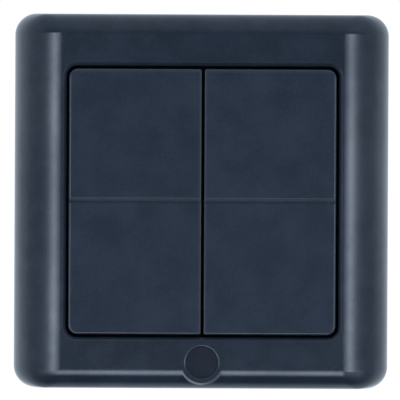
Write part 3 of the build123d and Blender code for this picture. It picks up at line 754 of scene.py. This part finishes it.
def rocker(name, sx):
    s = Shell()
    eased = (-0.022, -0.01, 0.0, 0.01, 0.022)
    zs = sorted(
        {round(z + e, 4) for z, _ in GROOVE for e in eased}
        | {-0.34, 0.02, 0.4, 0.66}
    )
    zs = [-22.0, -11.0] + zs + [11.0, 22.0]
    sides = (zs, [], zs[::-1], [])
    n = 12

    def ring(d, radii):
        r_out, r_in = max(radii[0] - d, 0.05), max(radii[1] - d, 0.05)
        if radii[0] == radii[1]:
            r_out = r_in = radii[0]
        reach = ((r_out, r_out), (r_in, r_in)) if sx > 0 else ((r_in, r_in), (r_out, r_out))
        return loop(KEY_A - d, KEY_B - d, reach, sides, n)

    size = len(zs)
    right = list(range(0, size + 2))  # foot to head of the right side
    tr = list(range(size + 1, size + 2 + n))
    tl = list(range(size + 2 + n, size + 3 + 2 * n))
    left = list(range(size + 2 + 2 * n, 2 * size + 4 + 2 * n))
    bl = list(range(2 * size + 3 + 2 * n, 2 * size + 4 + 3 * n))
    total = len(ring(0, (KEY_OUT_R, KEY_IN_R)))
    br = [i % total for i in range(2 * size + 4 + 3 * n, total + 1)]
    # matching lines down the right and the left half, from the top edge to the bottom edge
    line_r = tr[::-1] + right[::-1][1:] + br[::-1][1:]
    line_l = tl + left[1:] + bl[1:]

    def put(pts, h):
        return [s.vert(sx * 0 + x + (KEY_X if sx > 0 else -KEY_X), h, z) for x, z, _, _ in pts]

    def face_ring(psi):
        d = KEY_EDGE * (1 - sin(psi))
        pts = ring(d, (KEY_OUT_R, KEY_IN_R))
        h_edge = KEY_FACE - KEY_EDGE * (1 - cos(psi))
        ids = []
        for x, z, nx, nz in pts:
            depth, slope = groove(z)
            h = min(h_edge, KEY_FACE - depth)
            # the edge beside the middle gap is crisper than the other three
            beside = max(0.0, -sx * nx) ** 2
            crisp = 1 - (1 - KEY_CRISP) * beside
            x += d * (1 - crisp) * (-sx) * beside
            v = s.vert(x + (KEY_X if sx > 0 else -KEY_X), h, z)
            if KEY_FACE - depth < h_edge - 1e-6 or psi == 0:
                s.normal(v, "front", (0, -1, slope))
            else:
                s.normal(v, "front", (nx * sin(psi) / crisp, -cos(psi), nz * sin(psi) / crisp))
            ids.append(v)
        return ids

    rings = [face_ring(pi / 2 * i / 8) for i in range(9)]
    for a, b in zip(rings, rings[1:]):
        s.band(a, b, "front")
    s.strip([rings[0][i] for i in line_l], [rings[0][i] for i in line_r], "front")
    pts = ring(0.0, (KEY_OUT_R, KEY_IN_R))
    low = put(pts, 11.12)
    for v, (_, _, nx, nz) in zip(low, pts):
        s.normal(v, "front", (nx, 0, nz))
        s.normal(v, "foot", (nx, 0, nz))
    s.band(rings[-1], low, "front")
    pts = ring(0.12, (KEY_OUT_R, KEY_IN_R))
    toe = put(pts, 11.0)
    s.band(low, toe, "foot")
    inside = ring(1.1, (1.0, 1.0))
    skirt_low, skirt_top = put(inside, 11.0), put(inside, 13.0)
    s.band(toe, skirt_low, "toe")
    s.band(skirt_low, skirt_top, "inside")
    s.strip([skirt_top[i] for i in line_l], [skirt_top[i] for i in line_r], "under")

    # ribs, pads and spring clips below the plate, each a closed solid let in by 0.05 mm
    xm = sx * KEY_X
    for xr in (xm - 5.2, xm + 5.2):
        s.prism(
            [(-28.2, 13.05), (-28.2, 12.3), (-28.1, 12.2), (28.1, 12.2), (28.2, 12.3), (28.2, 13.05)],
            xr - 0.4,
            xr + 0.4,
            "x",
            ("rib", xr),
        )
    for zr in (-22.0, 22.0):
        s.prism(
            [(xm - 13.5, 13.05), (xm - 13.5, 12.2), (xm + 13.5, 12.2), (xm + 13.5, 13.05)],
            zr - 0.4,
            zr + 0.4,
            "z",
            ("cross", zr),
        )
    for zp in (-15.0, 15.0):
        arc = [
            (zp + cos(t), 13.25 + sin(t)) for t in [radians(195 + 150 * i / 12) for i in range(13)]
        ]
        arc = [(zp - 0.966, 13.05)] + arc + [(zp + 0.966, 13.05)]
        s.prism([(u, v) for u, v in arc], xm - 2.6, xm + 2.6, "x", ("pad", zp))
    for xc in (5.1, 24.7):
        centre = sx * xc
        start = asin(0.75 / 1.7)
        outer = [
            (1.7 * sin(start + (2 * pi - 2 * start) * i / 28), PIVOT_H - 1.7 * cos(start + (2 * pi - 2 * start) * i / 28))
            for i in range(29)
        ]
        # the head of the clip joins the plate
        outer = [p for p in outer if not (p[1] > PIVOT_H and abs(p[0]) < 1.2)]
        right_side = [p for p in outer if p[0] > 0]
        left_side = [p for p in outer if p[0] <= 0]
        bore_start = asin(0.75 / 1.05)
        bore = [
            (1.05 * sin(bore_start + (2 * pi - 2 * bore_start) * i / 24), PIVOT_H - 1.05 * cos(bore_start + (2 * pi - 2 * bore_start) * i / 24))
            for i in range(25)
        ]
        shape = right_side + [(1.2, 13.05), (-1.2, 13.05)] + left_side + bore[::-1]
        s.prism(shape, centre - 1.5, centre + 1.5, "x", ("clip", xc))
    if sx > 0:
        # its outer side stands a little further in than the left key's
        s.points = [(x - 0.13 * MM * min(max(x / MM - 27.0, 0.0) / 2.0, 1.0), y, z) for x, y, z in s.points]
    return s.build(name, [blue_key])


for hand, sx in (("left", -1), ("right", 1)):
    key = rocker(f"key_{hand}", sx)
    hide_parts(f"rocker_{hand}")
    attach(key, f"rocker_{hand}")

# ================================================================ finishes of the CAD nodes
# partly painted shade: the carrier's own dark grey is taken down to near black with almost no gloss, so the view into
# the gap between the keys reads dark
carrier_painted_shade = moulded("carrier_moulded_painted_shade", (0.0065, 0.0070, 0.0080), rough=(0.5, 0.6), grain=0.18, depth=0.4, flow=0.8, specular=0.03)
plate_grey = moulded("plate_moulded", (0.42, 0.43, 0.44), rough=(0.38, 0.5), grain=0.2, depth=0.4, flow=1.2, vary=0.04)
cover_grey = moulded("cover_moulded", (0.065, 0.068, 0.072), rough=(0.34, 0.44), grain=0.16, depth=0.4, flow=0.8)
pin_white = moulded("pin_moulded", (0.62, 0.61, 0.57), rough=(0.3, 0.4), grain=0.2, depth=0.2, vary=0.03)
holder_black = moulded("holder_moulded", (0.018, 0.018, 0.019), rough=(0.35, 0.45), grain=0.2, depth=0.3)
plunger_black = moulded("plunger_moulded", (0.0055, 0.0056, 0.0060), rough=(0.5, 0.6), grain=0.15, depth=0.3, specular=0.03)
chip = moulded("chip_package", (0.012, 0.012, 0.013), rough=(0.4, 0.55), grain=0.08, depth=0.6)
ceramic = moulded("ceramic_body", (0.34, 0.25, 0.16), rough=(0.4, 0.5), grain=0.1, depth=0.3)
resist = moulded("resistor_body", (0.02, 0.02, 0.022), rough=(0.25, 0.4), grain=0.1, depth=0.2)
spring_steel = metal("spring_wire", (0.56, 0.55, 0.53), size=0.2)
nickel = metal("nickel_strip", (0.60, 0.57, 0.51), size=0.3, brushed=(1.0, 1.0, 0.15))
blackened = metal("blackened_steel", (0.035, 0.036, 0.038), size=0.3, rough=(0.4, 0.55), stain=0.1)
cell_steel = metal("cell_can", (0.62, 0.62, 0.61), size=0.4, brushed=(0.2, 1.0, 1.0), rough=(0.18, 0.3))
screw_steel = metal("zinc_screw", (0.55, 0.56, 0.58), size=0.3, rough=(0.28, 0.42), stain=0.25)


def laminate(name):
    """Green solder mask with buried tracks and a woven core."""
    m, n, shader, where = material(name)
    split = n.new("ShaderNodeSeparateXYZ")
    n.link(where, split.inputs[0])
    track = n.new("ShaderNodeTexBrick")
    n.link(where, track.inputs["Vector"])
    turn = n.new("ShaderNodeCombineXYZ")
    n.link(split.outputs[0], turn.inputs[0])
    n.link(split.outputs[2], turn.inputs[1])
    n.link(turn.outputs[0], track.inputs["Vector"])
    track.inputs["Scale"].default_value = 420.0
    track.inputs["Mortar Size"].default_value = 0.02
    track.inputs["Mortar Smooth"].default_value = 0.2
    weave = n.noise(where, 0.5, 2.0, 0.5)
    base = n.mix(n.ramp(weave, 0.3, 0.7), (0.010, 0.075, 0.032), (0.014, 0.095, 0.042))
    base = n.mix(n.math("MULTIPLY", track.outputs["Fac"], 0.6), base, (0.03, 0.16, 0.075))
    n.link(base, shader.inputs["Base Color"])
    n.link(n.ramp(weave, 0.3, 0.7, 0.22, 0.34), shader.inputs["Roughness"])
    bump = n.new("ShaderNodeBump")
    bump.inputs["Strength"].default_value = 0.3
    bump.inputs["Distance"].default_value = 0.00003
    n.link(n.math("ADD", n.math("MULTIPLY", weave, 0.3), track.outputs["Fac"]), bump.inputs["Height"])
    n.link(bump.outputs[0], shader.inputs["Normal"])
    return m


board = laminate("solder_mask")

finishes = {
    "wall_plate": plate_grey,
    "carrier": carrier_painted_shade,
    "rear_cover": cover_grey,
    "carrier_screws": screw_steel,
    "circuit_board": board,
    "battery_holder": holder_black,
    "battery_contact_positive": nickel,
    "battery_contact_negative": nickel,
    "coin_cell": cell_steel,
    "radio_chip": chip,
    "crystal": nickel,
    "antenna": nickel,
    "capacitors": ceramic,
    "resistors": resist,
    "learn_button_housing": holder_black,
    "learn_button_cover": blackened,
    "learn_button_plunger": plunger_black,
    "learn_button_spring": nickel,
    "frame": blue,
    "rocker_left": blue_key,
    "rocker_right": blue_key,
}
for up in ("upper", "lower"):
    for hand in ("left", "right"):
        finishes[f"key_pin_{up}_{hand}"] = pin_white
        finishes[f"return_spring_{up}_{hand}"] = spring_steel
        finishes[f"contact_dome_{up}_{hand}"] = nickel
for name, finish in finishes.items():
    mesh = nodes[name].data
    mesh.materials.clear()
    mesh.materials.append(finish)


# ================================================================ springs and domes
def stand_in(node, name):
    """A copy of a CAD node's mesh, free to change shape with a joint."""
    o = nodes[node].copy()
    o.data = nodes[node].data.copy()
    o.parent = None
    o.matrix_world = Matrix.Identity(4)
    o.name = name
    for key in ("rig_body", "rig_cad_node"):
        if key in o:
            del o[key]
    scene.collection.objects.link(o)
    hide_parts(node)
    return o


for up, sz in (("upper", 1), ("lower", -1)):
    for hand, sx in (("left", -1), ("right", 1)):
        where = f"{up}_{hand}"
        coil = stand_in(f"return_spring_{where}", f"coil_{where}")
        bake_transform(coil)
        dome = stand_in(f"contact_dome_{where}", f"snap_dome_{where}")
        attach(dome, "housing")
        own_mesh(dome)
button_spring = stand_in("learn_button_spring", "button_dome")
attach(button_spring, "housing")
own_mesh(button_spring)


# ================================================================ studio
def studio():
    """Soft surroundings. A glossy surface sees bright sides and back, a dim front
    and three soft panels in front of the switch: left, right and below it. A matt
    surface gets its light from round the sides."""
    world = bpy.data.worlds.new("studio")
    scene.world = world
    world.use_nodes = True
    world.cycles.sampling_method = "NONE"
    n = Nodes(world.node_tree)
    for node in list(world.node_tree.nodes):
        world.node_tree.nodes.remove(node)
    out = n.new("ShaderNodeOutputWorld")
    direction = n.new("ShaderNodeTexCoord").outputs["Generated"]
    split = n.new("ShaderNodeSeparateXYZ")
    n.link(direction, split.inputs[0])
    x, y, z = split.outputs
    ahead = n.math("MULTIPLY", y, -1.0)
    across = n.math("ARCTAN2", x, ahead)
    up = n.math("ARCSINE", z)
    off = n.math("DIVIDE", n.math("ARCCOSINE", ahead), pi)
    radius = n.math("MAXIMUM", n.math("SQRT", n.math("ADD", n.math("MULTIPLY", x, x), n.math("MULTIPLY", z, z))), 1e-4)
    lean = n.math("DIVIDE", z, radius)

    def curve(value, points):
        """Straight lines between (degrees, level) points; value is 0..1 for 0..180 degrees."""
        node = n.new("ShaderNodeValToRGB")
        n.link(value, node.inputs[0])
        ramp = node.color_ramp
        ramp.interpolation = "LINEAR"
        while len(ramp.elements) > 1:
            ramp.elements.remove(ramp.elements[-1])
        for i, (degrees, level) in enumerate(points):
            element = ramp.elements[0] if i == 0 else ramp.elements.new(degrees / 180)
            element.position = degrees / 180
            element.color = (level, level, level, 1)
        return node.outputs[0]

    def window(value, a, b, c, d):
        rise = n.ramp(value, radians(a), radians(b))
        fall = n.ramp(value, radians(c), radians(d), 1.0, 0.0)
        return n.math("MULTIPLY", rise, fall)

    def bell(value, peak, middle, before, after):
        """A soft panel's brightness over a signed angle, wider on one side of its middle."""
        away = n.math("SUBTRACT", value, radians(middle))
        away = n.math("MAXIMUM", n.math("DIVIDE", away, -radians(before)), n.math("DIVIDE", away, radians(after)))
        spread = n.math("MULTIPLY_ADD", away, away, 1.0)
        return n.math("DIVIDE", peak, n.math("MULTIPLY", spread, spread))

    def glow(a, wide, e, low, high, strength):
        """A broad dim patch round the direction (a, e)."""
        u = n.math("DIVIDE", n.math("SUBTRACT", across, radians(a)), radians(wide))
        u = n.math("SUBTRACT", 1.0, n.math("MULTIPLY", u, u), clamp=True)
        v = n.math("MULTIPLY", n.ramp(up, radians(low), radians(e)), n.ramp(up, radians(e), radians(high), 1.0, 0.0))
        return n.math("MULTIPLY", n.math("MULTIPLY", u, v), strength)

    left = n.math("MULTIPLY", bell(across, 4.72, -19.1, 17.3, 14.8), window(across, -90, -80, -7.1, -0.3))
    left = n.math("MULTIPLY", left, window(up, -46, 0, -0.4, 6))
    right = n.math("MULTIPLY", bell(across, 4.72, 21.2, 14.6, 18.6), window(across, 2.0, 7.7, 70, 88))
    right = n.math("MULTIPLY", right, window(up, -14, -4, -3, 8))
    below = n.math("MULTIPLY", window(up, -43.5, -20.5, -17.7, 0.3), window(across, -42, -2, -0.2, 11.5))
    below = n.math("MULTIPLY", below, 4.03)
    panels = n.math("MAXIMUM", n.math("MAXIMUM", left, right), below)
    for patch in ((30, 36, -13, -56, 1, 1.15), (-30, 34, -16, -50, 4, 0.6), (32, 36, 26, 3, 60, 0.2)):
        panels = n.math("ADD", panels, glow(*patch))
    front = n.math("GREATER_THAN", ahead, 0.0)
    panels = n.math("MULTIPLY", panels, front)

    beside = n.math("SUBTRACT", 1.0, n.math("MULTIPLY", lean, lean))
    high = n.math("MAXIMUM", lean, 0.0)
    high = n.math("MULTIPLY", high, high)
    low = n.math("MAXIMUM", n.math("MULTIPLY", lean, -1.0), 0.0)
    low = n.math("MULTIPLY", low, low)

    def round_about(side, above, under):
        total = n.math("MULTIPLY", curve(off, side), beside)
        total = n.math("MULTIPLY_ADD", curve(off, above), high, total)
        return n.math("MULTIPLY_ADD", curve(off, under), low, total)

    gloss = round_about(GLOSS_SIDE, GLOSS_UP, GLOSS_DOWN)
    fill = round_about(FILL_SIDE, FILL_UP, FILL_DOWN)

    def lamp(value, colour):
        node = n.new("ShaderNodeBackground")
        node.inputs[0].default_value = (*colour, 1.0)
        n.put(node.inputs[1], value)
        return node.outputs[0]

    def pick(choice, a, b):
        node = n.new("ShaderNodeMixShader")
        n.link(choice, node.inputs[0])
        n.link(a, node.inputs[1])
        n.link(b, node.inputs[2])
        return node.outputs[0]

    glossy = n.new("ShaderNodeAddShader")
    n.link(lamp(panels, (0.895, 1.01, 1.22)), glossy.inputs[0])
    n.link(lamp(gloss, (0.88, 1.02, 1.16)), glossy.inputs[1])
    path = n.new("ShaderNodeLightPath")
    other = pick(path.outputs["Is Glossy Ray"], lamp(fill, (1.0, 1.0, 1.0)), glossy.outputs[0])
    n.link(pick(path.outputs["Is Camera Ray"], other, lamp(1.02, (1.0, 1.0, 1.0))), out.inputs[0])


GLOSS_SIDE = [(0, 0.02), (30, 0.1), (45, 0.24), (62, 0.33), (83, 0.48), (104, 0.86), (133, 1.05), (157, 0.85), (180, 0.45)]
GLOSS_UP = [(0, 0.03), (7, 0.14), (21, 0.24), (34, 0.36), (46, 0.44), (60, 0.52), (90, 0.67), (123, 0.79), (155, 0.74), (180, 0.5)]
GLOSS_DOWN = [(0, 0.02), (30, 0.02), (45, 0.0), (82, 0.02), (106, 0.75), (180, 1.1)]
FILL_SIDE = [(0, 0.95), (50, 1.05), (90, 1.15), (180, 1.3)]
FILL_UP = [(0, 0.95), (50, 1.05), (90, 1.15), (180, 1.3)]
FILL_DOWN = [(0, 0.95), (40, 0.85), (60, 0.7), (90, 0.7), (180, 1.2)]

studio()


def studio_floor():
    """Plain pale floor at the height of a room's, 1.05 m below a wall switch, seen from above only."""
    bm = bmesh.new()
    bmesh.ops.create_circle(bm, cap_ends=True, segments=64, radius=3.0)
    mesh = bpy.data.meshes.new("studio_floor")
    bm.to_mesh(mesh)
    bm.free()
    floor = bpy.data.objects.new("studio_floor", mesh)
    floor.location = (0, 0, -1.05)
    scene.collection.objects.link(floor)
    m = bpy.data.materials.new("pale_floor")
    m.use_nodes = True
    n = Nodes(m.node_tree)
    shader = m.node_tree.nodes["Principled BSDF"]
    where = n.new("ShaderNodeTexCoord").outputs["Object"]
    n.link(n.mix(n.noise(where, 300.0), (0.86, 0.86, 0.85), (0.9, 0.9, 0.9)), shader.inputs["Base Color"])
    shader.inputs["Roughness"].default_value = 0.7
    shader.inputs["Emission Color"].default_value = (1, 1, 1, 1)
    shader.inputs["Emission Strength"].default_value = 0.35
    clear = n.new("ShaderNodeBsdfTransparent")
    pick = n.new("ShaderNodeMixShader")
    n.link(n.new("ShaderNodeNewGeometry").outputs["Backfacing"], pick.inputs[0])
    n.link(shader.outputs[0], pick.inputs[1])
    n.link(clear.outputs[0], pick.inputs[2])
    n.link(pick.outputs[0], m.node_tree.nodes["Material Output"].inputs[0])
    mesh.materials.append(m)
    floor.visible_glossy = False
    floor.visible_diffuse = False


studio_floor()

# ================================================================ camera
camera_data = bpy.data.cameras.new("camera")
camera = bpy.data.objects.new("camera", camera_data)
scene.collection.objects.link(camera)
scene.camera = camera
DISTANCE = 3.9
SCALE = 0.21946 * MM  # metres to a pixel at the outline
camera_data.sensor_width = 36.0
camera_data.lens = 36.0 * DISTANCE / (400 * SCALE) * 0.999
camera_data.clip_start, camera_data.clip_end = 0.1, 20.0
aim = Vector((-1.4 * SCALE, -0.0037, 1.1 * SCALE))
turn, tilt, roll = radians(1.5), radians(0.9), radians(0.3)
back = Vector((-sin(turn) * cos(tilt), -cos(turn) * cos(tilt), sin(tilt)))
camera.location = aim + back * DISTANCE
camera.rotation_mode = "QUATERNION"
camera.rotation_quaternion = (-back).to_track_quat("-Z", "Y") @ Matrix.Rotation(roll, 4, "Z").to_quaternion()
